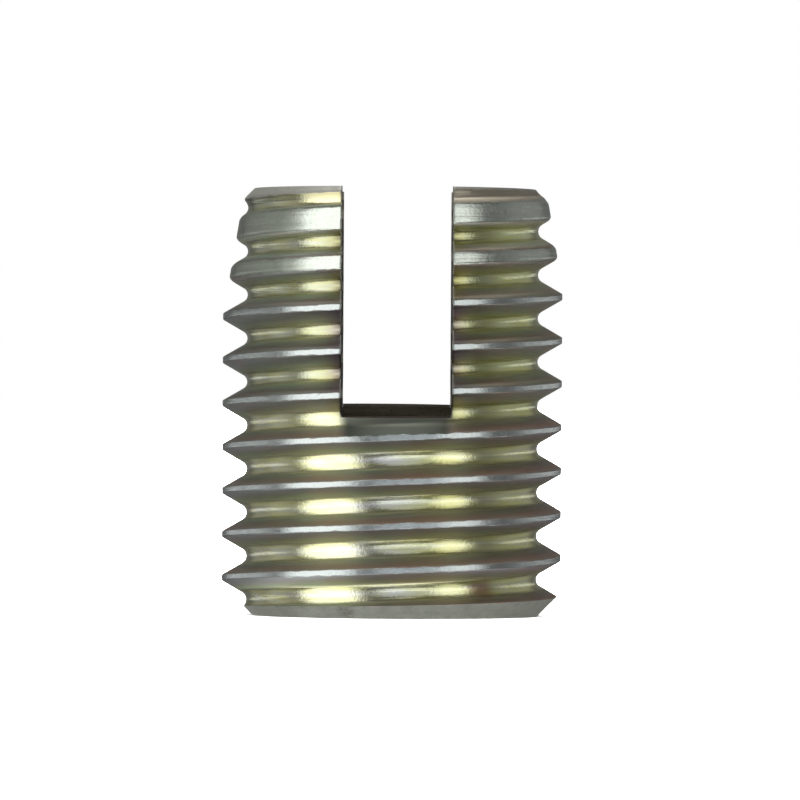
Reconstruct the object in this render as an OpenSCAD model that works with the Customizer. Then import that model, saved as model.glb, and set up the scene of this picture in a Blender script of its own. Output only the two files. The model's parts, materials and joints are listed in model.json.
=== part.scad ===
// Self-tapping threaded insert: a steel bush that cuts its own way into a plain hole with its coarse
// outside thread, and leaves a machine-screw thread in the bore. The outside thread is tapered away
// towards the leading end, where a slot across the bush gives the thread its cutting edges.
// The insert stands on its flat end. +Z runs up its axis to the leading end, and the slot runs along Y.

/* [Body] */
// Length from the flat end to the leading end
body_l = 14.7; // [13:0.1:24]

/* [Outside thread] */
// Diameter over the crests
thread_d = 11.7; // [11.4:0.1:14]
// Distance from one crest to the next
thread_pitch = 1.5; // [1.25:0.05:1.75]
// Angle between the two flanks of a groove
flank_angle = 60; // [55:1:65]
// Width of the flat on a crest
crest_flat = 0.2; // [0.1:0.01:0.3]
// Radius at the bottom of a groove
root_round = 0.28; // [0.15:0.01:0.3]
// Height of the first crest above the flat end, on the +X side
first_crest = 0.52; // [0:0.01:1.2]

/* [Ends] */
// Width of the chamfer round the flat end, in from the crests
foot_chamfer = 0.8; // [0.4:0.02:0.9]
// Slope of the flat end's chamfer, from the axis
foot_angle = 45; // [30:1:60]
// Depth of the taper at the leading end, in from the crests
lead_taper = 0.58; // [0.3:0.02:0.7]
// Slope of the taper, from the axis
lead_angle = 9.5; // [8:0.5:15]
// Width and height of the chamfer at the top of the taper
lead_chamfer = 0.4; // [0.2:0.05:0.5]
// Distance of the taper's own axis from the insert's axis, towards +X
lead_offset = 0.08; // [-0.2:0.01:0.2]

/* [Bore] */
// Diameter of the bore, over the crests of the screw thread in it
bore_d = 6.8; // [6:0.1:7.2]
// Width of the countersink at each end of the bore
sink_w = 0.8; // [0.4:0.05:1]
// Angle between the sides of a countersink
sink_angle = 90; // [80:1:120]

/* [Screw thread in the bore] */
// Distance from one crest of the screw thread to the next
screw_pitch = 1.25; // [1:0.05:1.5]
// Depth of the screw thread, out from the bore
screw_depth = 0.6; // [0.3:0.05:0.65]
// Angle between the two flanks of the screw thread
screw_angle = 60; // [55:1:65]

/* [Slot] */
// Width of the slot across the leading end
slot_w = 3.8; // [2.5:0.1:5]
// Depth of the slot on the insert's axis
slot_depth = 7.65; // [5:0.05:10]
// Slope of the slot's floor, rising towards +Y
slot_slope = 2.3; // [0:0.1:4]
// Distance of the slot's middle from the insert's axis, towards +X
slot_offset = 0.17; // [-0.3:0.01:0.3]

/* [Hidden] */

// Steps round one turn of the thread, and along the arc at the bottom of its groove
turn_steps = 60;
root_steps = 3;
// Steps round one turn of the screw thread
screw_steps = 30;
// Steps round the turned ends and the bore
round_steps = 96;
// How far a cut runs past the surface that it leaves
clear = 0.2;

// The groove's arc runs root_arc each side of its lowest point, and its flanks carry on from there
root_arc = 90 - flank_angle / 2;
flank_w = (thread_pitch - crest_flat) / 2 - root_round * sin(root_arc);
thread_depth = root_round * (1 - cos(root_arc)) + flank_w / tan(flank_angle / 2);
crest_r = thread_d / 2;
root_r = crest_r - thread_depth;

foot_r = crest_r - foot_chamfer;
lead_r = crest_r - lead_taper;
clear_r = crest_r + clear;
taper_z = body_l - lead_chamfer;
bore_r = bore_d / 2;
sink_r = bore_r + sink_w;
sink_depth = sink_w / tan(sink_angle / 2);

// The swept thread starts and ends past the ends of the insert, where its part turns are cut away
groove_z = first_crest - thread_pitch / 2;
sweep_z = groove_z - thread_pitch * (floor(groove_z / thread_pitch) + 2);
sweep_steps = ceil(turn_steps * ((body_l - sweep_z) / thread_pitch + 0.5));

// One pitch of the thread cut along the axis: [radius, height above the lowest point of its groove]
thread_form = concat(
    [for (i = [0:root_steps]) let (a = root_arc * (2 * i / root_steps - 1))
        [root_r + root_round * (1 - cos(a)), root_round * sin(a)]],
    [for (side = [-1, 1]) [crest_r, (thread_pitch + side * crest_flat) / 2]]
);

// The screw thread's groove cut along the axis, from just inside the bore: [radius, height from its middle]
screw_r = bore_r + screw_depth;
screw_inner_r = bore_r - 0.05;
screw_flat = screw_pitch / 8;
screw_mouth = screw_flat + 2 * (screw_r - screw_inner_r) * tan(screw_angle / 2);
screw_turns = ceil(body_l / screw_pitch) + 2;
screw_form = [
    [screw_inner_r, -screw_mouth / 2],
    [screw_r, -screw_flat / 2],
    [screw_r, screw_flat / 2],
    [screw_inner_r, screw_mouth / 2]
];

// A bar with the right-hand outside thread along it: thread_form swept up a helix, with flat caps
module threaded_bar() {
    form_n = len(thread_form);
    form_last = form_n - 1;
    // The number of a point: step i along the sweep, point j of the form
    function at(i, j) = i * form_n + j;
    // The point above it: the next one of the form, or the first one of the turn above
    function above(i, j) = j < form_last ? at(i, j + 1) : at(i + turn_steps, 0);
    sweep = [
        for (i = [0:sweep_steps], p = thread_form)
            let (a = 360 * i / turn_steps, z = sweep_z + thread_pitch * i / turn_steps)
                [p.x * cos(a), p.x * sin(a), z + p.y]
    ];
    cap_centres = [
        for (i = [0, sweep_steps]) [0, 0, sweep_z + thread_pitch * (i / turn_steps + 0.5)]
    ];
    sides = [
        for (i = [0:sweep_steps - 1], j = [0:form_last])
            if (j < form_last || i + turn_steps < sweep_steps)
                each [
                    [at(i, j), above(i, j), at(i + 1, j)],
                    [above(i, j), above(i + 1, j), at(i + 1, j)]
                ]
    ];
    // Each cap's rim runs one turn round the sweep's edge, then along the form back to its start
    bottom_rim = concat(
        [for (i = [0:turn_steps]) at(i, 0)],
        [for (j = [form_last:-1:1]) at(0, j)]
    );
    top_rim = concat(
        [for (i = [0:turn_steps]) at(sweep_steps - i, form_last)],
        [for (j = [0:form_last - 1]) at(sweep_steps, j)]
    );
    rims = [bottom_rim, top_rim];
    caps = [
        for (end = [0, 1], k = [0:len(rims[end]) - 1])
            [len(sweep) + end, rims[end][k], rims[end][(k + 1) % len(rims[end])]]
    ];
    polyhedron(points = concat(sweep, cap_centres), faces = concat(sides, caps), convexity = 10);
}

// What turning leaves of the bar: bored and countersunk at both ends, and chamfered at its foot
module turned_bush() {
    rotate_extrude($fn = round_steps)
        polygon([
            [bore_r, sink_depth],
            [sink_r, 0],
            [foot_r, 0],
            [clear_r, (clear_r - foot_r) / tan(foot_angle)],
            [clear_r, body_l],
            [sink_r, body_l],
            [bore_r, body_l - sink_depth]
        ]);
}

// The taper and the chamfer of the leading end, turned about an axis of their own
module tapered_lead() {
    straight_r = clear_r + abs(lead_offset);
    translate([lead_offset, 0, 0])
        rotate_extrude($fn = round_steps)
            polygon([
                [0, -clear],
                [straight_r, -clear],
                [straight_r, taper_z - (straight_r - lead_r) / tan(lead_angle)],
                [lead_r, taper_z],
                [lead_r - lead_chamfer - clear, body_l + clear],
                [0, body_l + clear]
            ]);
}

// The groove that a tap leaves in the bore: screw_form swept up a right-hand helix, past both ends
module screw_groove() {
    form_n = len(screw_form);
    steps = screw_turns * screw_steps;
    function at(i, j) = i * form_n + j % form_n;
    sweep = [
        for (i = [0:steps], p = screw_form)
            let (a = 360 * i / screw_steps, z = screw_pitch * (i / screw_steps - 1))
                [p.x * cos(a), p.x * sin(a), z + p.y]
    ];
    sides = [
        for (i = [0:steps - 1], j = [0:form_n - 1])
            each [
                [at(i, j), at(i, j + 1), at(i + 1, j)],
                [at(i, j + 1), at(i + 1, j + 1), at(i + 1, j)]
            ]
    ];
    caps = [
        [for (j = [form_n - 1:-1:0]) at(0, j)],
        [for (j = [0:form_n - 1]) at(steps, j)]
    ];
    polyhedron(points = sweep, faces = concat(sides, caps), convexity = 10);
}

// The slot across the leading end, open at both sides and at the top
module cutting_slot() {
    cut_l = 2 * clear_r / cos(slot_slope);
    cut_h = slot_depth + clear_r * tan(slot_slope) + clear;
    translate([slot_offset - slot_w / 2, 0, body_l - slot_depth])
        rotate([slot_slope, 0, 0])
            translate([0, -cut_l / 2, 0])
                cube([slot_w, cut_l, cut_h]);
}

module threaded_insert() {
    color("#8f8b63")
        difference() {
            intersection() {
                threaded_bar();
                turned_bush();
                tapered_lead();
            }
            screw_groove();
            cutting_slot();
        }
}

threaded_insert();
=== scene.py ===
import json
import math

import bmesh
import bpy
import numpy as np
from mathutils import Euler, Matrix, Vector


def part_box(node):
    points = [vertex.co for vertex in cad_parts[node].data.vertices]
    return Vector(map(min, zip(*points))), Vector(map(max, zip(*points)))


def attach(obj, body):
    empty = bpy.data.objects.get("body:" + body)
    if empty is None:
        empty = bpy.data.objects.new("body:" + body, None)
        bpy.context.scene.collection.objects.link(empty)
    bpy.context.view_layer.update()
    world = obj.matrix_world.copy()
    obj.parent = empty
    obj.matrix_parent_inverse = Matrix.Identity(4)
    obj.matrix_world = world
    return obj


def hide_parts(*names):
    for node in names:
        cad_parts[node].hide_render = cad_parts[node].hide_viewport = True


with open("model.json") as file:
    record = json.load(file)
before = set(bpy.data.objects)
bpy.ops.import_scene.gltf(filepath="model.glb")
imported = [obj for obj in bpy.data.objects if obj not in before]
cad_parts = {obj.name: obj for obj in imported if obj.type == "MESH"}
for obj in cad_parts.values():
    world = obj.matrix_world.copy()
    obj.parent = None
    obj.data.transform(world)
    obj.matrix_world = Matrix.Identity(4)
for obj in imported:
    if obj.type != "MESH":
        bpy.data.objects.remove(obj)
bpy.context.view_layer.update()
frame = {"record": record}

# Sizes are in millimetres, in the frame's own axes, and MM turns them into metres
MM = 0.001
NODE = "threaded_insert"

# The body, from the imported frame
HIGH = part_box(NODE)[1]
BODY_L = HIGH.z / MM
CREST_R = HIGH.x / MM
BORE_R = next(m for m in frame["record"]["mounts"] if m["name"] == "screw_thread")["dims"]["r_mm"]

# The outside thread: a right-hand groove with a rounded bottom, and flat crests between its turns
PITCH = 1.5
FLANK_SLOPE = 1 / math.tan(math.radians(30))
CREST_FLAT = 0.2
ROOT_ROUND = 0.28
ROOT_ARC = math.radians(60)
ARC_W = ROOT_ROUND * math.sin(ROOT_ARC)
FLANK_W = (PITCH - CREST_FLAT) / 2 - ARC_W
ROOT_R = CREST_R - ROOT_ROUND * (1 - math.cos(ROOT_ARC)) - FLANK_W * FLANK_SLOPE

# The height of the lowest crest on the +X side, and of the groove below it
FIRST_CREST = 0.52
GROOVE_Z = FIRST_CREST - PITCH / 2

# The foot's chamfer, which its wear makes wider at -X
FOOT_CHAMFER = 0.8
FOOT_WEAR = 0.25
FOOT_R = CREST_R - FOOT_CHAMFER

# The leading end: its chamfer, and a taper that meets it this far below the crests. The taper has an axis
# of its own, which stands to +X of the thread's by the offset
LEAD_CUT = 0.58
LEAD_R = CREST_R - LEAD_CUT
LEAD_SLOPE = math.tan(math.radians(9.5))
LEAD_CHAMFER = 0.4
LEAD_BLEND = 0.12
LEAD_OFFSET = 0.08

# How far the crests' edges are rounded off, and how much more where the taper has cut the crests down.
# It grows with the cut and with the height, between the first and the second number of each pair
CREST_EDGE = 0.03
WORN_EDGE = 0.09
WORN_BY_CUT = (0.03, 0.2)
WORN_BY_Z = (2, 3)

# The slot. Its +X wall stands nearer the axis than in the solids by the trim, and its floor rises towards
# the back by 2.7 degrees, which is 0.4 more than in the solids
SLOT_W = 3.8
SLOT_DEPTH = 7.65
SLOT_OFFSET = 0.17
SLOT_TRIM = 0.04
SLOT_X = (SLOT_OFFSET - SLOT_W / 2, SLOT_OFFSET + SLOT_W / 2 - SLOT_TRIM)
SLOT_MIDDLE = sum(SLOT_X) / 2
SLOT_HALF_W = (SLOT_W - SLOT_TRIM) / 2
FLOOR_Z = BODY_L - SLOT_DEPTH
FLOOR_SLOPE = math.tan(math.radians(2.7))

# How far the slot's edges are rounded off, and the height above its floor over which that begins
SLOT_EDGE = 0.07
SLOT_EDGE_RISE = 0.15

# The screw thread in the bore, and how much wider than the bore its countersinks are
SCREW_PITCH = 1.25
SCREW_DEPTH = 0.6
SCREW_FLAT = SCREW_PITCH / 8
SINK_W = 0.8


def smooth_min(a, b, k):
    """The lower of a and b, blended where they are less than k apart."""
    h = np.clip(0.5 + 0.5 * (b - a) / k, 0, 1)
    return b + (a - b) * h - k * h * (1 - h)


def smooth_step(low, high, x):
    """0 up to low, 1 from high on, and an S curve between them."""
    t = np.clip((x - low) / (high - low), 0, 1)
    return t * t * (3 - 2 * t)


def lerp(a, b, t):
    return a + (b - a) * t


def from_groove(z, angle, pitch, groove_z):
    """The height above the nearest turn of a groove's middle, from -pitch / 2 to pitch / 2."""
    return (z - groove_z - pitch * angle / math.tau + pitch / 2) % pitch - pitch / 2


# ---- The outside of the insert ----

# The rows across the root's arc, and the passes that find a flank's corner with the crest, which lies no
# nearer the root's lowest point than the last value
ROOT_ROWS = 7
CORNER_PASSES = 24
LOWEST_CORNER = 0.6 * ARC_W


def turned_radius(z, angle):
    """The radius that turning leaves: foot chamfer, crests, and the lead's taper with its own axis."""
    worn_side = ((1 - np.cos(angle)) / 2) ** 4
    foot = FOOT_R + z - FOOT_WEAR * worn_side
    taper = LEAD_R + (BODY_L - LEAD_CHAMFER - z) * LEAD_SLOPE
    lead = LEAD_R - LEAD_CHAMFER + (BODY_L - z)
    tip = smooth_min(taper, lead, LEAD_BLEND) + LEAD_OFFSET * np.cos(angle)
    return np.minimum(np.minimum(foot, CREST_R), tip)


def groove_radius(u):
    """The radius of the groove at a height u from its lowest point, with its flanks carried on."""
    u = np.abs(u)
    arc = ROOT_R + ROOT_ROUND - np.sqrt(ROOT_ROUND**2 - np.minimum(u, ARC_W) ** 2)
    return arc + np.maximum(u - ARC_W, 0) * FLANK_SLOPE


def crest_edge(z, angle):
    """How far the edges of the crests are rounded off: more where the lead's taper cuts them down."""
    cut_down = CREST_R - turned_radius(z, angle)
    return CREST_EDGE + WORN_EDGE * smooth_step(*WORN_BY_CUT, cut_down) * smooth_step(*WORN_BY_Z, z)


def corner_height(groove_z, side):
    """How far above (side 1) or below (side -1) its lowest point a groove's flank meets the crest."""
    u = np.full_like(groove_z, PITCH / 2 - CREST_FLAT / 2)
    angle = math.tau * (groove_z - GROOVE_Z) / PITCH
    for _ in range(CORNER_PASSES):
        crest = np.maximum(turned_radius(groove_z + side * u, angle), ROOT_R)
        flank_u = ARC_W + (crest - groove_radius(ARC_W)) / FLANK_SLOPE
        u = lerp(u, np.maximum(flank_u, LOWEST_CORNER), 0.5)
    return u


def outside_rows(groove_z):
    """Heights above the groove's lowest point of one pitch of rows, up its flank and over the crest."""
    lower = corner_height(groove_z, 1)
    upper = PITCH - corner_height(groove_z + PITCH, -1)
    angle = math.tau * (groove_z - GROOVE_Z) / PITCH
    edge = np.minimum(crest_edge(groove_z + PITCH / 2, angle), (upper - lower) / 4)
    arc = np.full_like(groove_z, ARC_W)
    across_root = np.linspace(-ROOT_ARC, ROOT_ARC, ROOT_ROWS)
    rows = [np.full_like(groove_z, ROOT_ROUND * math.sin(a)) for a in across_root]
    rows += [lerp(np.minimum(arc, lower - 3 * edge), lower - edge, t) for t in (0.33, 0.67, 1)]
    rows += [lower - edge / 2, lower, lower + edge / 2, lower + edge]
    rows += [lerp(lower + edge, upper - edge, t) for t in (0.3, 0.5, 0.7)]
    rows += [upper - edge, upper - edge / 2, upper, upper + edge / 2, upper + edge]
    rows += [lerp(upper + edge, PITCH - arc, t) for t in (0.33, 0.67)]
    return rows


def outside_radius(z, angle):
    """The outside radius at a height and angle, with the edges of the crests rounded."""
    groove = groove_radius(from_groove(z, angle, PITCH, GROOVE_Z))
    return smooth_min(groove, turned_radius(z, angle), 2 * crest_edge(z, angle) - CREST_EDGE)


# ---- The bore ----

def bore_radius(z, angle):
    """The radius of the bore's wall: the screw thread, and the countersink at each end."""
    flank_u = np.abs(from_groove(z, angle, SCREW_PITCH, 0.0)) - SCREW_FLAT / 2
    thread = BORE_R + np.clip(SCREW_DEPTH - flank_u * FLANK_SLOPE, 0, SCREW_DEPTH)
    sink = BORE_R + SINK_W - np.minimum(z, BODY_L - z)
    return np.maximum(thread, sink)


def bore_rows(groove_z):
    """Heights above the screw groove's middle of one pitch of rows."""
    flank_w = SCREW_DEPTH / FLANK_SLOPE
    half = [0, SCREW_FLAT / 2, SCREW_FLAT / 2 + flank_w / 2, SCREW_FLAT / 2 + flank_w]
    rows = half + [SCREW_PITCH / 2] + [SCREW_PITCH - h for h in half[:0:-1]]
    return [np.full_like(groove_z, h) for h in rows]


# ---- Skins: grids of points whose rows climb with the thread ----
# Sectors 0 and 2 are the ears at +X and -X, and sectors 1 and 3 are the slot's mouths at +Y and -Y

# The distances of an ear's first columns from its edge, and the number of columns from the last of these to
# its fellow at the other edge
EDGE_STEPS = (0, 0.012, 0.035, 0.065, 0.1, 0.16, 0.25)
EAR_COLUMNS = 80
MOUTH_COLUMNS = 24

# An ear's length round the crests, near enough for spacing its columns
EAR_L = CREST_R * 2.4

# A skin starts this many turns below the foot, and has this many more than the body's length holds
TURNS_BELOW = 2
SPARE_TURNS = 3
SKIN_PASSES = 8


def is_ear(sector):
    return sector % 2 == 0


def sector_steps(sector):
    """Where a sector's columns lie between its two edges, from 0 to 1. An ear's crowd at its edges."""
    if not is_ear(sector):
        return np.linspace(0, 1, MOUTH_COLUMNS)
    near = [s / EAR_L for s in EDGE_STEPS]
    inner = np.linspace(near[-1], 1 - near[-1], EAR_COLUMNS)[1:-1]
    return np.array(near + list(inner) + [1 - t for t in reversed(near)])


def sector_angle(sector, steps, radius):
    """The angle of every point of a sector, whose two edges are edges of the slot."""
    right = np.arccos(SLOT_X[1] / radius)
    left = np.arccos(SLOT_X[0] / radius)
    edges = [-right, right, left, math.tau - left, math.tau - right]
    return lerp(edges[sector], edges[sector + 1], steps)


def floor_height(y):
    return FLOOR_Z + y * FLOOR_SLOPE


def edge_drop(x, sector, above_floor):
    """How much an ear's skin is rounded off near its slot wall, above the floor."""
    wall_x = abs(SLOT_X[1 - sector // 2])
    inside = np.clip(SLOT_EDGE - (np.abs(x) - wall_x), 0, SLOT_EDGE)
    drop = SLOT_EDGE - np.sqrt(SLOT_EDGE**2 - inside**2)
    return drop * smooth_step(0, SLOT_EDGE_RISE, above_floor)


def row_heights(starts, climb, rows_of, pitch):
    """The height of every row of every turn. Rows that would pass their neighbours lie on them instead."""
    rows = np.maximum.accumulate(np.stack(rows_of(starts + climb.mean(2)), axis=2), axis=2)
    rows = np.minimum(rows, pitch + rows[:, :, :1])
    return (starts[:, :, None] + rows + climb).reshape(len(climb), -1)


def meet_floor(z, level, sector):
    """End a mouth's rows at the slot's floor, and give an ear's two edge columns a point on it."""
    if not is_ear(sector):
        return np.minimum(z, level)
    for end in (0, -1):
        at_floor = np.argmax(z[end] > level[end])
        z[end, at_floor] = level[end, at_floor]
    return z


def skin(sector, radius_at, rows_of, pitch, groove_z, rounded=False):
    """One sector's points, as columns by rows by xyz. Its rows stop at the ends and at the slot's floor.
    Each point's angle depends on its radius and the other way round, so both are found in passes."""
    steps = sector_steps(sector)[:, None]
    turns = math.ceil(BODY_L / pitch) + SPARE_TURNS
    first = -TURNS_BELOW - math.floor(groove_z / pitch)
    starts = groove_z + pitch * (np.arange(turns) + first)[None, :]
    radius = np.full((len(steps), turns * len(rows_of(starts))), (CREST_R + BORE_R) / 2)
    for _ in range(SKIN_PASSES):
        angle = sector_angle(sector, steps, radius)
        climb = pitch * angle.reshape(len(steps), turns, -1) / math.tau
        level = floor_height(radius * np.sin(angle))
        z = meet_floor(row_heights(starts, climb, rows_of, pitch), level, sector)
        z = np.clip(z, 0, BODY_L)
        drop = 0
        if rounded and is_ear(sector):
            drop = edge_drop(radius * np.cos(angle), sector, z - level)
        radius = radius_at(z, angle) - drop
    angle = sector_angle(sector, steps, radius)
    return np.stack([radius * np.cos(angle), radius * np.sin(angle), z], axis=2)


# ---- The mesh ----

# The materials' places on the mesh
PLATED, CUT, BORE = range(3)

# Faces and steps no longer than this are left out, and points no farther apart than the weld are joined
TINY = 1e-6
WELD = 0.0004

# Edges that turn by more than this are sharp
SHARP_EDGE = math.radians(42)


class Surface:
    """Points and faces gathered part by part, and welded into one closed mesh at the end."""

    def __init__(self):
        self.points, self.faces, self.materials = [], [], []

    def add(self, points, faces, material):
        first = len(self.points)
        self.points += [tuple(p) for p in points]
        self.faces += [[first + i for i in f] for f in faces]
        self.materials += [material] * len(faces)

    def grid(self, points, material):
        """Quads between neighbouring columns and rows of points, without those that have no area."""
        columns, rows, _ = points.shape
        flat = points.reshape(-1, 3)
        column, row = np.meshgrid(np.arange(columns - 1), np.arange(rows - 1), indexing="ij")
        here = column * rows + row
        beside = here + rows
        quads = np.stack([here, beside, beside + 1, here + 1], 2).reshape(-1, 4)
        corners = flat[quads]
        span = np.linalg.norm(corners[:, 3] - corners[:, 0], axis=1)
        span += np.linalg.norm(corners[:, 2] - corners[:, 1], axis=1)
        self.add(flat, quads[span > TINY].tolist(), material)

    def stitch(self, a, b, material):
        """Triangles between two chains of points that both climb in z."""
        i, j, faces = 0, 0, []
        while i < len(a) - 1 or j < len(b) - 1:
            climb_a = j == len(b) - 1 or (i < len(a) - 1 and a[i + 1][2] <= b[j + 1][2])
            faces.append([i, len(a) + j, i + 1 if climb_a else len(a) + j + 1])
            i, j = (i + 1, j) if climb_a else (i, j + 1)
        self.add(list(a) + list(b), faces, material)

    def build(self, name, materials):
        mesh = bpy.data.meshes.new(name)
        mesh.from_pydata([Vector(p) * MM for p in self.points], [], self.faces)
        mesh.polygons.foreach_set("material_index", self.materials)
        shape = bmesh.new()
        shape.from_mesh(mesh)
        bmesh.ops.remove_doubles(shape, verts=shape.verts, dist=WELD * MM)
        bmesh.ops.recalc_face_normals(shape, faces=shape.faces)
        shape.to_mesh(mesh)
        shape.free()
        for material in materials:
            mesh.materials.append(material)
        obj = bpy.data.objects.new(name, mesh)
        bpy.context.scene.collection.objects.link(obj)
        return obj


def slot_chain(points, end):
    """The points of an ear's edge column, from the slot's floor to the leading end."""
    column = points[end]
    above = column[:, 2] >= floor_height(column[:, 1]) - TINY
    chain = list(column[above])
    return [p for k, p in enumerate(chain) if k == 0 or p[2] - chain[k - 1][2] > TINY]


def insert_body(materials):
    """The whole insert: both skins, the faces of its ends, and the walls and floor of its slot."""
    surface = Surface()
    for sector in range(4):
        outside = skin(sector, outside_radius, outside_rows, PITCH, GROOVE_Z, rounded=True)
        inside = skin(sector, bore_radius, bore_rows, SCREW_PITCH, 0.0)
        surface.grid(outside, PLATED)
        surface.grid(inside, BORE)
        surface.grid(np.stack([outside[:, 0], inside[:, 0]], 1), PLATED)
        top = PLATED if is_ear(sector) else CUT
        surface.grid(np.stack([outside[:, -1], inside[:, -1]], 1), top)
        if is_ear(sector):
            for end in (0, -1):
                surface.stitch(slot_chain(outside, end), slot_chain(inside, end), CUT)
    insert = surface.build("insert_body", materials)
    mark_finish(insert.data)
    insert.data.set_sharp_from_angle(angle=SHARP_EDGE)
    turn_normals(insert.data)
    return insert


# ---- What the mesh tells the materials and the light ----

# The over value's limit in mm, how near an end's height a point lies on that end, and the cuts in mm over
# which a crest goes from plated to worn
OVER_LIMIT = 0.3
AT_END = 1e-4
WORN_CUT = (0.01, 0.08)

# The heights between which the body's looks give way to the ears'
EARS_Z = (FLOOR_Z - 0.6, FLOOR_Z + 0.5)

# How strongly normals turn outwards in the groove's root, on the body and on the ears
ROOT_TURN = 1.5
EAR_ROOT_TURN = 1.0

# Half the height of the stretch that turns, beyond the root's arc above and below it, and on the ears, and
# the height over which it fades
ABOVE_ARC = 0.04
BELOW_ARC = 0.015
EAR_ROOT_W = 0.13
ROOT_FADE = 0.1

# A corner is in the root within this distance of the groove's surface, and if it faces outwards this much
ROOT_NEAR = 0.02
ROOT_FACING = 0.2

# On the ears the crests' upper edges turn too, between these depths below the turned radius: deeper at -X
TIP_DEPTHS = (0.12, 0.04)
LEFT_TIP_DEEPER = 0.08

# A face whose normal is this near the z axis is part of an end
END_FACING = 0.9995


def read(collection, name, width=1, kind=float):
    """A value for each item of one of the mesh's collections, or a row of width values."""
    values = np.empty(len(collection) * width, dtype=kind)
    collection.foreach_get(name, values)
    return values.reshape(-1, width) if width > 1 else values


def mark_finish(mesh):
    """Point values for the materials: over is how far in mm turning cut the thread down, and worn is 1
    where that left a crest lower."""
    x, y, z = read(mesh.vertices, "co", 3).T / MM
    angle = np.arctan2(y, x)
    crest = turned_radius(z, angle)
    groove = groove_radius(from_groove(z, angle, PITCH, GROOVE_Z))
    over = np.clip(groove - crest, -OVER_LIMIT, OVER_LIMIT)
    over[(z < AT_END) | (z > BODY_L - AT_END)] = OVER_LIMIT
    worn = smooth_step(*WORN_CUT, CREST_R - crest)
    for name, values in (("over", over), ("worn", worn)):
        mesh.attributes.new(name, "FLOAT", "POINT").data.foreach_set("value", values.astype(np.float32))


def root_turn(z, u, radius, facing):
    """How far normals in the groove's root turn outwards, so that the root shines as a wider hollow."""
    ear = smooth_step(*EARS_Z, z)
    half_w = lerp(ARC_W + np.where(u > 0, ABOVE_ARC, BELOW_ARC), EAR_ROOT_W, ear)
    on_root = 1 - smooth_step(half_w, half_w + ROOT_FADE, np.abs(u))
    on_root *= (np.abs(radius - groove_radius(u)) < ROOT_NEAR) * (facing > ROOT_FACING)
    return on_root * lerp(ROOT_TURN, EAR_ROOT_TURN, ear)


def tip_turn(x, z, u, depth):
    """How far normals on the upper edges of the ears' crests turn outwards, so that those shine wider."""
    deepest, shallowest = TIP_DEPTHS
    deeper = np.where(x < 0, LEFT_TIP_DEEPER, 0)
    return smooth_step(*EARS_Z, z) * (u < 0) * smooth_step(-deepest - deeper, -shallowest - deeper, -depth)


def flat_normals(mesh):
    """For each face corner its face's normal, and whether it keeps that: on the slot's cut and the ends."""
    normals = read(mesh.polygons, "normal", 3, np.float32)
    material = read(mesh.polygons, "material_index", kind=np.int32)
    sides = read(mesh.polygons, "loop_total", kind=np.int32)
    flat = (material == CUT) | (np.abs(normals[:, 2]) > END_FACING)
    return np.repeat(normals, sides, axis=0), np.repeat(flat, sides)


def turn_normals(mesh):
    """Give the mesh the normals of its roots, tips and flat faces. Its shape stays as it is."""
    corner = read(mesh.loops, "vertex_index", kind=np.int32)
    x, y, z = read(mesh.vertices, "co", 3)[corner].T / MM
    normals = read(mesh.corner_normals, "vector", 3, np.float32)
    radius = np.hypot(x, y)
    out = np.stack([x / radius, y / radius, np.zeros_like(x)], axis=1)
    angle = np.arctan2(y, x)
    u = from_groove(z, angle, PITCH, GROOVE_Z)
    turn = root_turn(z, u, radius, np.sum(normals * out, axis=1))
    turn += tip_turn(x, z, u, turned_radius(z, angle) - radius)
    turned = normals + turn[:, None] * out
    turned /= np.linalg.norm(turned, axis=1)[:, None]
    face_normals, flat = flat_normals(mesh)
    turned[flat] = face_normals[flat]
    mesh.normals_split_custom_set(turned.tolist())


# ---- Node trees ----

# The Mix node's sockets for its factor and for the two that it mixes, as numbers and as colours, and the
# socket where a mixed colour comes out
MIX_NUMBERS = (0, 2, 3)
MIX_COLOURS = (0, 6, 7)
MIXED_COLOUR = 2


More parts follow.
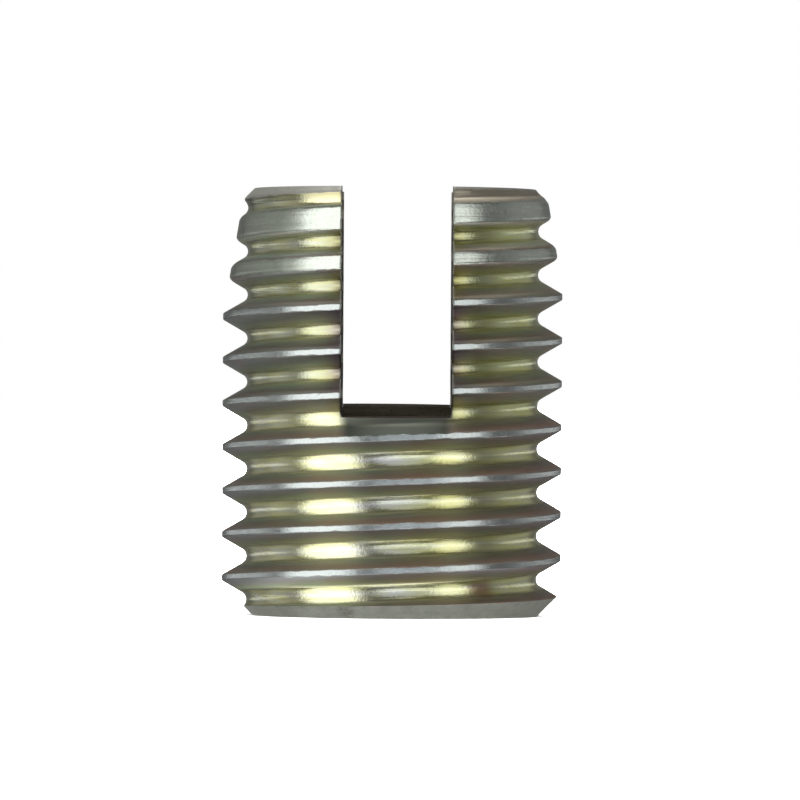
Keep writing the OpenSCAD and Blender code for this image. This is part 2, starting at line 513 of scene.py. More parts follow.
class Nodes:
    """A node tree, with short calls to add and join its nodes. Values are numbers, colours or outputs."""

    def __init__(self, tree):
        self.tree = tree

    def node(self, kind, **settings):
        made = self.tree.nodes.new(kind)
        for key, value in settings.items():
            setattr(made, key, value)
        return made

    def join(self, source, target):
        self.tree.links.new(source, target)

    def feed(self, socket, value):
        """Set a socket to a number or a colour, or join another node's output to it."""
        if isinstance(value, (int, float)):
            socket.default_value = value
        elif isinstance(value, tuple):
            socket.default_value = (*value, 1)
        else:
            self.join(value, socket)

    def feed_all(self, sockets, values):
        for socket, value in zip(sockets, values):
            self.feed(socket, value)

    def math(self, operation, a, b=0.0):
        made = self.node("ShaderNodeMath", operation=operation)
        self.feed_all(made.inputs, (a, b))
        return made.outputs[0]

    def minus(self, a, b):
        return self.math("SUBTRACT", a, b)

    def off(self, value, middle):
        """How far a value is from a middle, on either side."""
        return self.math("ABSOLUTE", self.minus(value, middle))

    def times(self, product, *factors):
        for factor in factors:
            product = self.math("MULTIPLY", product, factor)
        return product

    def sum(self, *terms):
        """The sum of terms, each a value or a pair of a value and its weight."""
        total = 0.0
        for term in terms:
            part = self.times(*term) if isinstance(term, tuple) else term
            total = self.math("ADD", total, part)
        return total

    def xyz(self, x, y, z):
        made = self.node("ShaderNodeCombineXYZ")
        self.feed_all(made.inputs, (x, y, z))
        return made.outputs[0]

    def split(self, vector):
        made = self.node("ShaderNodeSeparateXYZ")
        self.join(vector, made.inputs[0])
        return made.outputs

    def noise(self, vector, scale, detail=3.0, roughness=0.55):
        made = self.node("ShaderNodeTexNoise")
        made.inputs["Scale"].default_value = scale
        made.inputs["Detail"].default_value = detail
        made.inputs["Roughness"].default_value = roughness
        self.join(vector, made.inputs["Vector"])
        return made.outputs["Fac"]

    def ramp(self, factor, stops):
        made = self.node("ShaderNodeValToRGB")
        elements = made.color_ramp.elements
        while len(elements) < len(stops):
            elements.new(0.5)
        for element, (position, colour) in zip(elements, stops):
            element.position = position
            element.color = (*colour, 1)
        self.join(factor, made.inputs["Fac"])
        return made.outputs["Color"]

    def mix(self, factor, a, b, blend="MIX"):
        made = self.node("ShaderNodeMix", data_type="RGBA", blend_type=blend)
        self.feed_all([made.inputs[k] for k in MIX_COLOURS], (factor, a, b))
        return made.outputs[MIXED_COLOUR]

    def tinted(self, colour, by, share=1.0):
        """A colour multiplied by another one, in full or by a share."""
        return self.mix(share, colour, by, "MULTIPLY")

    def between(self, factor, a, b):
        made = self.node("ShaderNodeMix", data_type="FLOAT")
        self.feed_all([made.inputs[k] for k in MIX_NUMBERS], (factor, a, b))
        return made.outputs[0]

    def remap(self, value, low, high, to_low, to_high, smooth=False):
        """to_low up to low, to_high from high on, and a line or an S curve between them."""
        made = self.node("ShaderNodeMapRange")
        if smooth:
            made.interpolation_type = "SMOOTHSTEP"
        self.join(value, made.inputs["Value"])
        for key, number in (("From Min", low), ("From Max", high), ("To Min", to_low), ("To Max", to_high)):
            made.inputs[key].default_value = number
        return made.outputs["Result"]

    def rise(self, value, low, high, smooth=False):
        return self.remap(value, low, high, 0.0, 1.0, smooth)

    def fall(self, value, low, high, smooth=False):
        return self.remap(value, low, high, 1.0, 0.0, smooth)

    def band(self, value, start, full, fade, end):
        """1 from full to fade, and 0 up to start and from end on."""
        return self.times(self.rise(value, start, full), self.fall(value, fade, end))

    def bump(self, height, distance):
        """A normal for a height of 0 to 1, which stands for this many millimetres."""
        made = self.node("ShaderNodeBump")
        made.inputs["Distance"].default_value = distance * MM
        self.join(height, made.inputs["Height"])
        return made.outputs["Normal"]


class Material(Nodes):
    """A material's nodes, and its shader."""

    def __init__(self, name, metallic):
        self.material = bpy.data.materials.new(name)
        self.material.use_nodes = True
        super().__init__(self.material.node_tree)
        self.shader = self.tree.nodes["Principled BSDF"]
        self.shader.inputs["Metallic"].default_value = metallic


# How much slower the tool's marks change along the thread than noise of scale 1 does, and how much slower
# they change with height than with radius
MARKS_ALONG = 0.5
MARKS_BY_HEIGHT = 0.6

# Grain shared by the plating and the slot's cut: noise scale, detail and roughness
FINE_GRAIN = (9.0, 4.0, 0.65)


class Metal(Material):
    """A metal's nodes, with the place on the insert in millimetres."""

    def __init__(self, name):
        super().__init__(name, 1.0)
        scaled = self.node("ShaderNodeVectorMath", operation="SCALE")
        self.join(self.node("ShaderNodeTexCoord").outputs["Object"], scaled.inputs[0])
        scaled.inputs["Scale"].default_value = 1 / MM
        self.place = scaled.outputs[0]
        self.x, self.y, self.z = self.split(self.place)

    def grey_noise(self, scale, detail, roughness=0.55):
        return self.noise(self.place, scale, detail, roughness)

    def drawn_out(self, x_scale, y_scale, z_scale):
        """Noise with a scale of its own along each axis."""
        stretched = self.xyz(
            self.times(self.x, x_scale),
            self.times(self.y, y_scale),
            self.times(self.z, z_scale),
        )
        return self.noise(stretched, 1.0)

    def tool_marks(self, across):
        """Noise drawn out along the thread: fine lines that keep to one radius and height."""
        radius = self.math("SQRT", self.sum(self.times(self.x, self.x), self.times(self.y, self.y)))
        line = self.sum((radius, across), (self.z, across * MARKS_BY_HEIGHT))
        along_x = self.times(self.x, MARKS_ALONG)
        along_y = self.times(self.y, MARKS_ALONG)
        return self.noise(self.xyz(along_x, along_y, line), 1.0)

    def beside_slot(self):
        """How far in mm a point lies outside the slot's nearer wall plane."""
        return self.minus(self.off(self.x, SLOT_MIDDLE), SLOT_HALF_W)

    def finish(self, colour, roughness, normal):
        """Join the three to the shader, and return the material."""
        self.join(colour, self.shader.inputs["Base Color"])
        self.join(roughness, self.shader.inputs["Roughness"])
        self.join(normal, self.shader.inputs["Normal"])
        return self.material


def grey(level):
    return (level, level, level)


# ---- The plated thread ----

# Tints over one turn of the thread, by phase: 0 in the groove's lowest line, 0.5 on the crest above it, and
# 1 in the next groove up. First those of the body, then those of the ears
BODY_DEEP = (0.72, 0.73, 0.54)
BODY_TINTS = (
    (0.0, BODY_DEEP),
    (0.05, (0.67, 0.68, 0.50)),
    (0.14, (0.75, 0.76, 0.44)),
    (0.20, (0.49, 0.48, 0.31)),
    (0.27, (0.37, 0.365, 0.265)),
    (0.33, (0.315, 0.275, 0.25)),
    (0.42, (0.275, 0.255, 0.26)),
    (0.58, (0.28, 0.225, 0.185)),
    (0.64, (0.30, 0.22, 0.175)),
    (0.70, (0.30, 0.27, 0.23)),
    (0.76, (0.36, 0.345, 0.29)),
    (0.80, (0.44, 0.44, 0.29)),
    (0.86, (0.72, 0.72, 0.42)),
    (0.95, (0.63, 0.64, 0.46)),
    (1.0, BODY_DEEP),
)
EAR_DEEP = (0.70, 0.72, 0.50)
EAR_ROOT = (0.74, 0.75, 0.43)
EAR_TINTS = (
    (0.0, EAR_DEEP),
    (0.05, EAR_DEEP),
    (0.14, EAR_ROOT),
    (0.20, (0.58, 0.55, 0.39)),
    (0.27, (0.50, 0.48, 0.37)),
    (0.33, (0.41, 0.375, 0.32)),
    (0.42, (0.29, 0.26, 0.24)),
    (0.58, (0.28, 0.255, 0.195)),
    (0.64, (0.31, 0.255, 0.20)),
    (0.70, (0.355, 0.355, 0.29)),
    (0.76, (0.46, 0.47, 0.345)),
    (0.80, (0.55, 0.55, 0.38)),
    (0.86, EAR_ROOT),
    (0.95, EAR_DEEP),
    (1.0, EAR_DEEP),
)

# The root lies within this phase of its lowest line, and the ears' roots are narrower by the squeeze. The
# tool's marks shift the tints by up to half the wander, either way
ROOT_PHASE = 0.195
ROOT_PHASE_FADE = 0.02
EAR_SQUEEZE = 0.035
PHASE_WANDER = 0.07

# Noise over the thread: scale, detail and roughness, the scales along x, y and z of the drawn-out ones, and
# how many lines of the tool's marks go to a millimetre
PATCHES = (0.55, 2.0)
NICKS = (2.6, 3.0)
STREAKS = (0.7, 0.7, 5.0)
TURNED_LINES = (0.3, 0.3, 9.0)
MARKS_ACROSS = 11.0

# Casts, which multiply a tint: from the left ear's, a colour cast darker as painted shade, to the right
# one's, a colour cast lighter as painted light, two kinds of flank, two kinds of streak in the roots, and
# the roots' own from x = -5, at 0, to x = 5, at 1
EAR_SIDES = (-3.5, 3.5)
EAR_LEFT_CAST_AND_SHADE = (0.86, 0.87, 0.92)
EAR_RIGHT_CAST_AND_LIGHT = (1.03, 1.07, 1.04)
GREEN_CAST = (0.94, 1.06, 1.08)
RED_CAST = (1.03, 0.96, 0.97)
RED_BY_X = 0.05
RED_BY_PATCH = 2.6
COOL_STREAK = (1.02, 1.02, 1.14)
WARM_STREAK = (0.98, 0.97, 0.80)
WARM_NOISE = (0.4, 0.65)
ROOT_CAST_REACH = 5
ROOT_CASTS = (
    (0.33, (1.0, 1.0, 0.96)),
    (0.40, (1.0, 1.0, 1.12)),
    (0.50, (1.0, 1.0, 1.10)),
    (0.62, (1.03, 1.03, 0.84)),
    (0.75, (1.03, 1.03, 0.87)),
)
MARK_DARK = grey(0.86)
MARK_LIGHT = grey(1.14)

# The ears beside the slot: darker as a whole as painted shade, a stretch of flank on the +X ear painted
# lighter as painted light, another tint where the milling rolled over the roots, a painted shade line
# along the roots' edges, and a painted shade line along the brink. A name in _W holds the distances from
# the slot's wall over which one fades, and four values are where a band begins, is full, begins to fade and
# ends
SLOT_SHADE = (0.64, 0.62, 0.65)
SLOT_SHADE_W = (0.02, 1.72)
# Painted light: a lighter stretch of flank on the +X ear beside the slot
PAINTED_LIGHT_FLANK = (1.5, 1.5, 1.55)
PAINTED_LIGHT_FLANK_X = (1.5, 1.9, 2.3, 2.9)
PAINTED_LIGHT_FLANK_PHASE = (0.09, 0.13, 0.34, 0.38)
ROLLED_PINK = (0.86, 0.76, 0.93)
ROLLED_GOLD = (0.93, 0.90, 0.72)
ROLLED_W = (0.17, 0.62)
ROLLED_PINK_Z = (FLOOR_Z + 0.35, FLOOR_Z + 0.75, FLOOR_Z + 3.45, FLOOR_Z + 3.85)
# Painted shade: darkens the roots' edges near the slot, so that their highlights narrow there
PINCH_SHADE = (0.60, 0.58, 0.62)
PINCH_SHADE_W = (0.07, 0.42)
PINCH_SHADE_OFF_CREST = (0.28, 0.33, 0.42, 0.45)
# Painted shade: a dark line along the slot's edges on the ears
BRINK_SHADE = (0.19, 0.19, 0.17)
BRINK_SHADE_W = (0.01, 0.06)

# A magenta stain on the lowest groove
STAIN = (0.85, 0.55, 0.66)
STAIN_PLACE = (3.0, -3.9, 0.95)
STAIN_REACH = (0.15, 0.7)
STAIN_SHARE = 0.8

# The last groove before the leading end: a painted highlight in gold on the left ear, dull on the right,
# and painted shade on its flank
END_GOLD_HIGHLIGHT = (0.47, 0.43, 0.25)
END_GOLD_HIGHLIGHT_LOW = (0.92, 0.86, 0.50)
END_GOLD_HIGHLIGHT_X = (-4.2, -2.2, -1.0, -0.5)
END_GOLD_HIGHLIGHT_LOWER_PHASE = (0.84, 0.9)
END_GOLD_HIGHLIGHT_UPPER_PHASE = (0.4, 0.5)
END_GOLD_HIGHLIGHT_Z = (BODY_L - 0.95, BODY_L - 0.8)
END_GOLD_HIGHLIGHT_FADE_Z = (BODY_L - 0.55, BODY_L - 0.28)
END_DULL = (0.42, 0.38, 0.30)
END_DULL_X = (0, 1)
END_DULL_Z = (BODY_L - 0.95, BODY_L - 0.85)
# Painted shade: the upward-facing flank of the last groove is made dark
END_DARK = (0.095, 0.105, 0.085)
END_DARK_Z = (BODY_L - 0.95, BODY_L - 0.75)
END_DARK_PHASE = (0.80, 0.84)
END_DARK_SHARE = 0.7

# Painted shade on the lip of the groove that the slot's floor cuts open, on the front only
LIP_SHADE_LOW = (0.075, 0.084, 0.067)
LIP_SHADE_HIGH = (0.115, 0.123, 0.097)
LIP_W = (-0.28, 0.22)
LIP_Z = (FLOOR_Z - 1.0, FLOOR_Z - 0.9)
LIP_CHANGE_Z = (FLOOR_Z - 0.57, FLOOR_Z - 0.45)
LIP_Y = (-1, 0)

# Turned metal: the crests, the worn ones, those under a green patina at the far left, which is darker there
# as painted shade too, and the two chamfers
CREST = (0.46, 0.50, 0.485)
WORN = (0.56, 0.60, 0.535)
PATINA_AND_SHADE = (0.43, 0.47, 0.40)
PATINA_AND_SHADE_X = (-3.5, -2.95)
PATINA_AND_SHADE_WANDER = 0.6
LEAD = (0.37, 0.37, 0.33)
LEAD_Z = (BODY_L - LEAD_CHAMFER - 0.1, BODY_L - LEAD_CHAMFER)
FOOT = (0.30, 0.31, 0.27)
FOOT_Z = (FOOT_CHAMFER - 0.05, FOOT_CHAMFER + 0.05)
GRAIN_DARK = grey(0.8)
GRAIN_LIGHT = grey(1.2)
SPECK = (0.15, 0.14, 0.12)
SPECK_GRAIN = (0.64, 0.72)
SMUDGE_PLACE = (-1.5, -4.95, 0.3)
SMUDGE_REACH = (0.08, 0.45)
SMUDGE_GRAIN = (0.4, 0.55)
SMUDGE_SHARE = 0.8

# Turned metal begins over this stretch of the mesh's over value, to which the nicks add up to half of the
# ragged value, either way
METAL_OVER = (-0.01, 0.05)
METAL_RAGGED = 0.2

# Roughness, what some places add to it, and how strongly the marks and the nicks vary it
ROOT_ROUGH = 0.17
FLANK_ROUGH = 0.5
CREST_ROUGH = 0.21
WORN_ROUGH = 0.24
END_DULL_ROUGHER = 0.2
FOOT_ROUGHER = 0.5
LEAD_ROUGHER = 0.35
PATINA_ROUGHER = 0.1
MARKS_ROUGHNESS = 0.12
NICKS_ROUGHNESS = 0.3

# The relief in mm, and the shares in it of the tool's marks, the grain and the lines on worn crests
RELIEF = 0.012
RELIEF_MARKS = 0.5
RELIEF_GRAIN = 0.5
RELIEF_TURNED = 1.1


class PlatedThread(Metal):
    """Yellow-passivated zinc over the thread: pale in the roots and on the crests, dark on the flanks."""

    def __init__(self):
        super().__init__("plated_thread")
        self.worn = self.point_value("worn")
        self.marks = self.tool_marks(MARKS_ACROSS)
        self.patches = self.grey_noise(*PATCHES)
        self.grain = self.grey_noise(*FINE_GRAIN)
        self.nicks = self.grey_noise(*NICKS)
        self.on_ear = self.rise(self.z, *EARS_Z, smooth=True)
        self.beside = self.beside_slot()
        self.set_phase()
        self.set_end_masks()
        self.set_metal_masks()

    def point_value(self, name):
        return self.node("ShaderNodeAttribute", attribute_name=name).outputs["Fac"]

    def centred(self, noise):
        return self.minus(noise, 0.5)

    def set_phase(self):
        """The phase on the thread's turn, and how much of a point is the groove's root or a flank."""
        turn = self.math("DIVIDE", self.math("ARCTAN2", self.y, self.x), math.tau)
        climb = self.math("DIVIDE", self.minus(self.z, GROOVE_Z), PITCH)
        self.phase = self.math("FRACT", self.minus(climb, turn))
        self.squeeze = self.times(self.on_ear, EAR_SQUEEZE)
        self.off_crest = self.minus(self.off(self.phase, 0.5), self.squeeze)
        edge = 0.5 - ROOT_PHASE
        self.on_flank = self.fall(self.off_crest, edge - ROOT_PHASE_FADE, edge + ROOT_PHASE_FADE)
        self.in_root = self.minus(1.0, self.on_flank)

    def set_end_masks(self):
        """Where the groove at the leading end has a painted gold highlight, a dull stretch or painted shade,
        and where painted shade covers the lip below the slot.
        """
        lower = self.rise(self.phase, *END_GOLD_HIGHLIGHT_LOWER_PHASE)
        groove = self.math("MAXIMUM", lower, self.fall(self.phase, *END_GOLD_HIGHLIGHT_UPPER_PHASE))
        self.gold_highlight = self.times(self.band(self.x, *END_GOLD_HIGHLIGHT_X), self.rise(self.z, *END_GOLD_HIGHLIGHT_Z), groove)
        self.dull = self.times(self.rise(self.x, *END_DULL_X), self.rise(self.z, *END_DULL_Z))
        flank = self.times(self.rise(self.z, *END_DARK_Z), self.fall(self.phase, *END_DARK_PHASE))
        self.dark = self.times(flank, self.minus(1.0, self.gold_highlight), self.minus(1.0, self.dull))
        # Painted shade: the lip below the slot's floor, on the front
        below_slot = self.times(self.rise(self.z, *LIP_Z), self.fall(self.beside, *LIP_W, smooth=True))
        self.lip = self.times(below_slot, self.fall(self.y, *LIP_Y))

    def set_metal_masks(self):
        """Where turned metal shows, and which: the foot's and the lead's chamfers, and the patina, which is
        partly painted shade.
        """
        ragged = self.sum(self.point_value("over"), (self.centred(self.nicks), METAL_RAGGED))
        self.on_crest = self.rise(ragged, *METAL_OVER, smooth=True)
        self.foot = self.fall(self.z, *FOOT_Z)
        self.lead = self.rise(self.z, *LEAD_Z)
        # The patina at the far left of the worn crests, darker there as painted shade too
        wandering_x = self.sum(self.x, (self.centred(self.patches), PATINA_AND_SHADE_WANDER))
        self.patina_and_shade = self.times(self.worn, self.fall(wandering_x, *PATINA_AND_SHADE_X))

    def spot(self, place, near, far):
        """1 within near of a place on the insert, and 0 from far on."""
        away = self.node("ShaderNodeVectorMath", operation="DISTANCE")
        self.join(self.place, away.inputs[0])
        away.inputs[1].default_value = place
        return self.fall(away.outputs["Value"], near, far, smooth=True)

    def turn_tint(self):
        """The tint by phase, of the body and of the ears."""
        half = self.math("SIGN", self.minus(0.5, self.phase))
        wander = (self.centred(self.marks), PHASE_WANDER)
        wandering = self.sum(self.phase, wander, (self.squeeze, half))
        # The ears' cast: painted shade on the -X ear and painted light on the +X ear, each with a colour
        # cast
        ear_cast_light_and_shade = self.mix(self.rise(self.x, *EAR_SIDES), EAR_LEFT_CAST_AND_SHADE, EAR_RIGHT_CAST_AND_LIGHT)
        ear = self.tinted(self.ramp(wandering, EAR_TINTS), ear_cast_light_and_shade)
        return self.mix(self.on_ear, self.ramp(wandering, BODY_TINTS), ear)

    def cast_tint(self, tint):
        """Patches of green and red on the flanks, streaks and a cast in the roots, and the tool's marks."""
        red = self.sum(0.5, (self.x, RED_BY_X), (self.centred(self.patches), RED_BY_PATCH))
        flank_cast = self.mix(self.rise(red, 0, 1), GREEN_CAST, RED_CAST)
        tint = self.tinted(tint, flank_cast, self.on_flank)
        streaks = self.rise(self.drawn_out(*STREAKS), *WARM_NOISE)
        tint = self.tinted(tint, self.mix(streaks, COOL_STREAK, WARM_STREAK), self.in_root)
        root_cast = self.ramp(self.rise(self.x, -ROOT_CAST_REACH, ROOT_CAST_REACH), ROOT_CASTS)
        tint = self.tinted(tint, root_cast, self.in_root)
        return self.tinted(tint, self.mix(self.marks, MARK_DARK, MARK_LIGHT))

    def slot_tint(self, tint):
        """Painted shade and light by the slot on the ears, the milling's tint, and the stain lower down."""
        # Painted shade: the ears grow darker towards the slot's walls
        dull = self.times(self.on_ear, self.fall(self.beside, *SLOT_SHADE_W, smooth=True))
        tint = self.tinted(tint, SLOT_SHADE, dull)
        # Painted light on a stretch of flank beside the slot, on the +X ear
        painted_light = self.times(self.band(self.x, *PAINTED_LIGHT_FLANK_X), self.band(self.phase, *PAINTED_LIGHT_FLANK_PHASE))
        tint = self.tinted(tint, PAINTED_LIGHT_FLANK, self.times(painted_light, self.on_ear))
        rolled = self.times(self.on_ear, self.fall(self.beside, *ROLLED_W))
        rolled_tint = self.mix(self.band(self.z, *ROLLED_PINK_Z), ROLLED_GOLD, ROLLED_PINK)
        tint = self.tinted(tint, rolled_tint, rolled)
        # Painted shade on the roots' edges near the slot
        pinch_shade = self.times(self.on_ear, self.fall(self.beside, *PINCH_SHADE_W, smooth=True))
        tint = self.tinted(tint, PINCH_SHADE, self.times(pinch_shade, self.band(self.off_crest, *PINCH_SHADE_OFF_CREST)))
        stain = self.times(self.spot(STAIN_PLACE, *STAIN_REACH), STAIN_SHARE)
        return self.tinted(tint, STAIN, stain)

    def end_tint(self, tint):
        """Painted gold highlight, dull stretch and painted shade on the last groove before the leading end,
        and painted shade on the lip under the slot's floor.
        """
        # Painted highlight: bright gold low in the groove, darker higher up
        gold_highlight = self.mix(self.rise(self.z, *END_GOLD_HIGHLIGHT_FADE_Z), END_GOLD_HIGHLIGHT_LOW, END_GOLD_HIGHLIGHT)
        tint = self.mix(self.gold_highlight, tint, gold_highlight)
        tint = self.mix(self.dull, tint, END_DULL)
        # Painted shade on the flank of the last groove
        tint = self.mix(self.times(self.dark, END_DARK_SHARE), tint, END_DARK)
        return self.mix(self.lip, tint, self.mix(self.rise(self.z, *LIP_CHANGE_Z), LIP_SHADE_LOW, LIP_SHADE_HIGH))

    def metal_tint(self):
        """The crests and the chamfers, with their grain, specks and the smudge on the foot."""
        # Patina, partly painted shade
        metal = self.mix(self.patina_and_shade, self.mix(self.worn, CREST, WORN), PATINA_AND_SHADE)
        metal = self.mix(self.lead, metal, LEAD)
        metal = self.mix(self.foot, metal, FOOT)
        metal = self.tinted(metal, self.mix(self.grain, GRAIN_DARK, GRAIN_LIGHT))
        metal = self.mix(self.rise(self.grain, *SPECK_GRAIN), metal, SPECK)
        smudge = self.times(self.spot(SMUDGE_PLACE, *SMUDGE_REACH), self.rise(self.grain, *SMUDGE_GRAIN))
        return self.mix(self.times(smudge, SMUDGE_SHARE), metal, SPECK)

    def colour(self):
        tint = self.end_tint(self.slot_tint(self.cast_tint(self.turn_tint())))
        colour = self.mix(self.on_crest, tint, self.metal_tint())
        # Painted shade along the slot's edges
        brink_shade = self.times(self.on_ear, self.fall(self.beside, *BRINK_SHADE_W, smooth=True))
        return self.mix(brink_shade, colour, BRINK_SHADE)

    def roughness(self):
        groove = self.between(self.math("MAXIMUM", self.on_flank, self.lip), ROOT_ROUGH, FLANK_ROUGH)
        marks = (self.centred(self.marks), MARKS_ROUGHNESS)
        groove = self.sum(groove, (self.dull, END_DULL_ROUGHER), marks)
        metal = self.between(self.worn, CREST_ROUGH, WORN_ROUGH)
        nicks = (self.centred(self.nicks), NICKS_ROUGHNESS)
        chamfers = self.sum((self.foot, FOOT_ROUGHER), (self.lead, LEAD_ROUGHER))
        metal = self.sum(metal, nicks, chamfers, (self.patina_and_shade, PATINA_ROUGHER))
        return self.between(self.on_crest, groove, metal)

    def normal(self):
        turned = self.times(self.worn, self.drawn_out(*TURNED_LINES))
        relief = self.sum((self.marks, RELIEF_MARKS), (self.grain, RELIEF_GRAIN), (turned, RELIEF_TURNED))
        return self.bump(relief, RELIEF)


def plated_thread():
    thread = PlatedThread()
    return thread.finish(thread.colour(), thread.roughness(), thread.normal())


# ---- The slot's cut and the bore ----

# The slot's cut: its floor, painted almost black as painted shade, the specks on it, and its walls, which
# begin over this pair of distances from their planes
CUT_FLOOR_SHADE_DARK = (0.0085, 0.0068, 0.0055)
CUT_FLOOR_SHADE_LIGHT = (0.0175, 0.0145, 0.012)
CUT_SPECK = (0.006, 0.005, 0.004)
CUT_WALL = (0.30, 0.30, 0.28)
CUT_WALL_W = (-0.02, -0.005)
CUTTER_LINES = (6.0, 0.6, 7.0)
CUT_ROUGH = (0.38, 0.6)

# The bore's thread: its plating, the specks on it, and the tap's lines in a millimetre
BORE_DARK = (0.12, 0.11, 0.085)
BORE_LIGHT = (0.24, 0.22, 0.16)
BORE_SPECK = (0.08, 0.07, 0.06)
BORE_GRAIN = (8.0, 4.0, 0.65)
BORE_ROUGH = (0.6, 0.8)
TAP_LINES = 12.0

# The levels of noise between which specks appear, and those that stand for the two ends of a roughness
DULL_SPECK_GRAIN = (0.58, 0.68)
LINE_RANGE = (0.3, 0.7)
DULL_RELIEF = 0.01


def slot_cut():
    """The slot's milled faces, with the cutter's fine lines: bare metal walls, and a floor painted almost
    black and without gloss as painted shade.
    """
    n = Metal("slot_cut")
    lines = n.drawn_out(*CUTTER_LINES)
    grain = n.grey_noise(*FINE_GRAIN)
    wall = n.rise(n.beside_slot(), *CUT_WALL_W)
    colour = n.mix(wall, n.mix(lines, CUT_FLOOR_SHADE_DARK, CUT_FLOOR_SHADE_LIGHT), CUT_WALL)
    colour = n.mix(n.rise(grain, *DULL_SPECK_GRAIN), colour, CUT_SPECK)
    # Painted shade: the floor gets no metal and no specular, so it stays almost black
    n.join(wall, n.shader.inputs["Metallic"])
    n.shader.inputs["Specular IOR Level"].default_value = 0.0
    roughness = n.remap(lines, *LINE_RANGE, *CUT_ROUGH)
    return n.finish(colour, roughness, n.bump(n.sum(lines, grain), DULL_RELIEF))


def bore_thread():
    """The screw thread in the bore: dull olive plating with the tap's lines along it."""
    n = Metal("bore_thread")
    lines = n.tool_marks(TAP_LINES)
    grain = n.grey_noise(*BORE_GRAIN)
    colour = n.mix(lines, BORE_DARK, BORE_LIGHT)
    colour = n.mix(n.rise(grain, *DULL_SPECK_GRAIN), colour, BORE_SPECK)
    roughness = n.remap(lines, *LINE_RANGE, *BORE_ROUGH)
    return n.finish(colour, roughness, n.bump(n.sum(lines, grain), DULL_RELIEF))


# ---- The studio ----

# How far the floor reaches in metres: towards the camera, away from it, and to each side
FLOOR_NEAR = 1.0
FLOOR_FAR = 60.0
FLOOR_SIDE = 40.0
PAPER = (0.93, 0.93, 0.93, 1)

# How light the room is from straight down, 0, to straight up, 1, and from the camera's side, 0, to the
# back, 1
ROOM = 0.41
LOW_GLOW = 7.0
TOP_GLOW = 5.6
ROOM_HEIGHT = (
    (0.0, 0.6),
    (0.02, 0.6),
    (0.06, LOW_GLOW),
    (0.14, 0.35),
    (0.27, 0.28),
    (0.35, 0.42),
    (0.65, 0.42),
    (0.73, 0.28),
    (0.88, 0.35),
    (1.0, TOP_GLOW),
)
ROOM_DEPTH = ((0.0, 1.0), (0.4, 1.0), (0.6, 1.7), (0.87, 1.7), (0.93, 0.6), (1.0, 1.2))

# The lights' radiances and colours
KEY = 1.7
SIDE = 1.2
LEFT = 0.12
BACK = 0.6
FRONT = 2.1
WHITE = (1, 1, 1)
COOL = (0.94, 0.98, 1.06)

# The soft boxes: azimuth and elevation in degrees, distance, width and height in mm, radiance and colour.
# Azimuth 0 is the camera's side, and 90 is the +X side
SOFT_BOXES = {
    "key": (-50, 0, 150, 152, 380, KEY * 0.55, WHITE),
    "key_middle": (-50, 0, 149, 118, 290, KEY * 0.45, WHITE),
    "side": (48, 1, 150, 84, 205, SIDE * 0.62, WHITE),
    "side_middle": (48, 1, 149, 72, 105, SIDE * 0.42, WHITE),
    "left": (-98, 0, 151, 80, 380, LEFT, WHITE),
    "back_left": (-118, -3, 150, 190, 14, BACK, WHITE),
    "back_right": (124, 0, 150, 190, 11, BACK, WHITE),
    "front": (11, 2, 261, 230, 330, FRONT * 0.22, COOL),
    "front_strip": (9, -13, 260, 244, 48, FRONT * 0.38, COOL),
    "front_low": (9, -47, 259, 244, 62, FRONT * 0.35, COOL),
}
SKY_ENERGY = 14.0
SKY_ANGLE = math.radians(120)

# The camera: its place beside and above the origin, its distance, what it sees across there, and its roll
CAMERA_X = 0.27
CAMERA_Z = 7.43
CAMERA_AWAY = 300
VIEW_W = 27.6
SENSOR_W = 36
ROLL = math.radians(0.35)


def stage_floor():
    """A wide sheet of pale paper. Its far edge lies about a pixel below the horizon."""
    mesh = bpy.data.meshes.new("floor")
    corners = [
        (-FLOOR_SIDE, -FLOOR_NEAR, 0),
        (FLOOR_SIDE, -FLOOR_NEAR, 0),
        (FLOOR_SIDE, FLOOR_FAR, 0),
        (-FLOOR_SIDE, FLOOR_FAR, 0),
    ]
    mesh.from_pydata(corners, [], [(0, 1, 2, 3)])
    floor = bpy.data.objects.new("floor", mesh)
    bpy.context.scene.collection.objects.link(floor)
    n = Material("floor_paper", 0.0)
    n.shader.inputs["Base Color"].default_value = PAPER
    n.shader.inputs["Roughness"].default_value = 1.0
    n.shader.inputs["Specular IOR Level"].default_value = 0.0
    mesh.materials.append(n.material)
    floor.visible_glossy = False


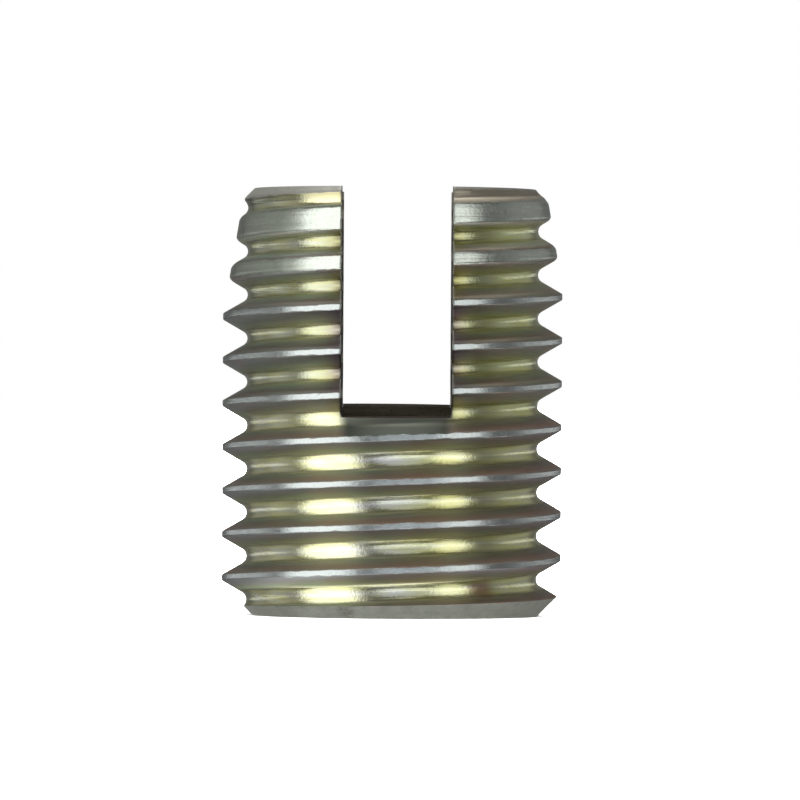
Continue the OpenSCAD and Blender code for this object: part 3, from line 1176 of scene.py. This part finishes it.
def studio_world():
    """White to the camera. To everything else a dim room, lighter overhead, low down and behind."""
    world = bpy.data.worlds.new("studio")
    world.use_nodes = True
    n = Nodes(world.node_tree)
    _, y, z = n.split(n.node("ShaderNodeTexCoord").outputs["Generated"])
    by_height = n.ramp(n.rise(z, -1, 1), [(at, grey(level)) for at, level in ROOM_HEIGHT])
    by_depth = n.ramp(n.rise(y, -1, 1), [(at, grey(level)) for at, level in ROOM_DEPTH])
    room = n.tree.nodes["Background"]
    n.join(n.tinted(by_height, by_depth), room.inputs["Color"])
    room.inputs["Strength"].default_value = ROOM
    white = n.node("ShaderNodeBackground")
    white.inputs["Color"].default_value = (*WHITE, 1)
    shown = n.node("ShaderNodeMixShader")
    n.join(n.node("ShaderNodeLightPath").outputs["Is Camera Ray"], shown.inputs[0])
    n.join(room.outputs[0], shown.inputs[1])
    n.join(white.outputs[0], shown.inputs[2])
    n.join(shown.outputs[0], n.tree.nodes["World Output"].inputs["Surface"])
    bpy.context.scene.world = world


def soft_box(name, azimuth, elevation, distance, width, height, radiance, colour):
    """An elliptical light that faces the insert's middle."""
    lamp = bpy.data.lights.new(name, "AREA")
    lamp.shape = "ELLIPSE"
    lamp.size = width * MM
    lamp.size_y = height * MM
    lamp.energy = radiance * math.pi * lamp.size * lamp.size_y * math.pi / 4
    lamp.color = colour
    box = bpy.data.objects.new(name, lamp)
    a = math.radians(azimuth)
    e = math.radians(elevation)
    out = Vector((math.sin(a) * math.cos(e), -math.cos(a) * math.cos(e), math.sin(e)))
    centre = Vector((0, 0, BODY_L / 2 * MM))
    box.location = centre + out * distance * MM
    box.rotation_euler = out.to_track_quat("Z", "Y").to_euler()
    box.visible_camera = False
    bpy.context.scene.collection.objects.link(box)


def studio_lights():
    """The soft boxes, and a wide sky that lights the paper and isn't mirrored in the metal."""
    for name, settings in SOFT_BOXES.items():
        soft_box(name, *settings)
    sky = bpy.data.objects.new("sky", bpy.data.lights.new("sky", "SUN"))
    sky.data.energy = SKY_ENERGY
    sky.data.angle = SKY_ANGLE
    sky.visible_glossy = False
    bpy.context.scene.collection.objects.link(sky)


def studio_camera():
    """Level with the insert's middle, in front of the slot, with a long lens."""
    camera = bpy.data.objects.new("camera", bpy.data.cameras.new("camera"))
    camera.data.sensor_width = SENSOR_W
    camera.data.lens = SENSOR_W * CAMERA_AWAY / VIEW_W
    camera.data.clip_start = 0.01
    camera.data.clip_end = 10
    camera.location = (CAMERA_X * MM, -CAMERA_AWAY * MM, CAMERA_Z * MM)
    camera.rotation_euler = Euler((math.radians(90), -ROLL, 0))
    bpy.context.scene.collection.objects.link(camera)
    bpy.context.scene.camera = camera


def main():
    studio_camera()
    insert = insert_body([plated_thread(), slot_cut(), bore_thread()])
    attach(insert, "root")
    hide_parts(NODE)
    stage_floor()
    studio_world()
    studio_lights()
    bpy.context.scene.view_settings.view_transform = "Standard"


main()
